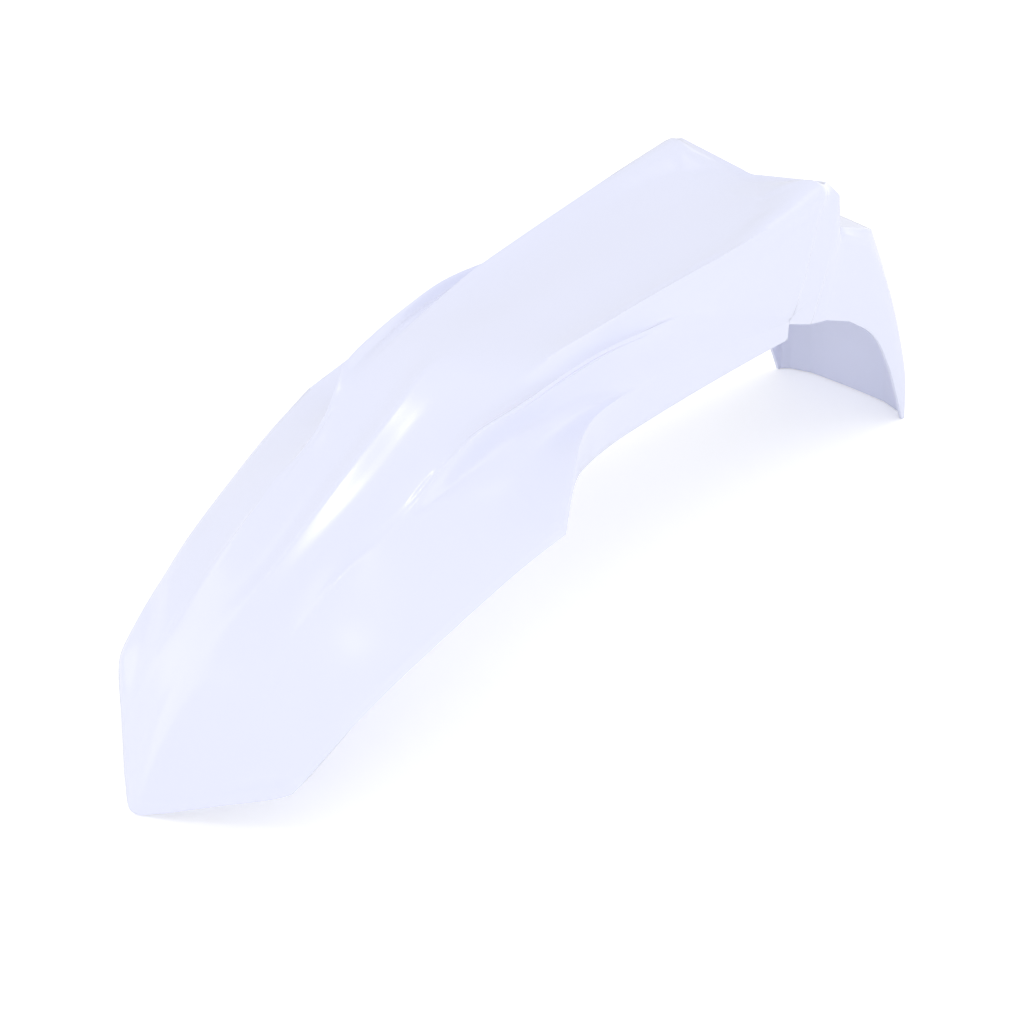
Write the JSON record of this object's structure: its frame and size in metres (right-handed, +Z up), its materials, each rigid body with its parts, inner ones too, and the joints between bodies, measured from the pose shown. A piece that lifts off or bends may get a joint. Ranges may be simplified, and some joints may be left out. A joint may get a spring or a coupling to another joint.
{
  "type": "motorcycle mudguard",
  "caption": "Front mudguard of an off-road motorcycle: one moulded plastic shell with a pointed nose, wide wings, a ridged top panel and a turned-down tail.",
  "frame": {"origin": "middle of the length and width, on the floor that the nose tip and the tail edge stand on", "axes": "X runs along the length, nose towards -X and tail towards +X; Y across, the shell is the same on both sides of Y = 0; Z up"},
  "size_m": [0.735, 0.239, 0.2548],
  "materials": {
    "shell": "satin white injection-moulded polypropylene"
  },
  "bodies": {
    "root": {"mudguard_shell": "shell"}
  },
  "joints": []
}
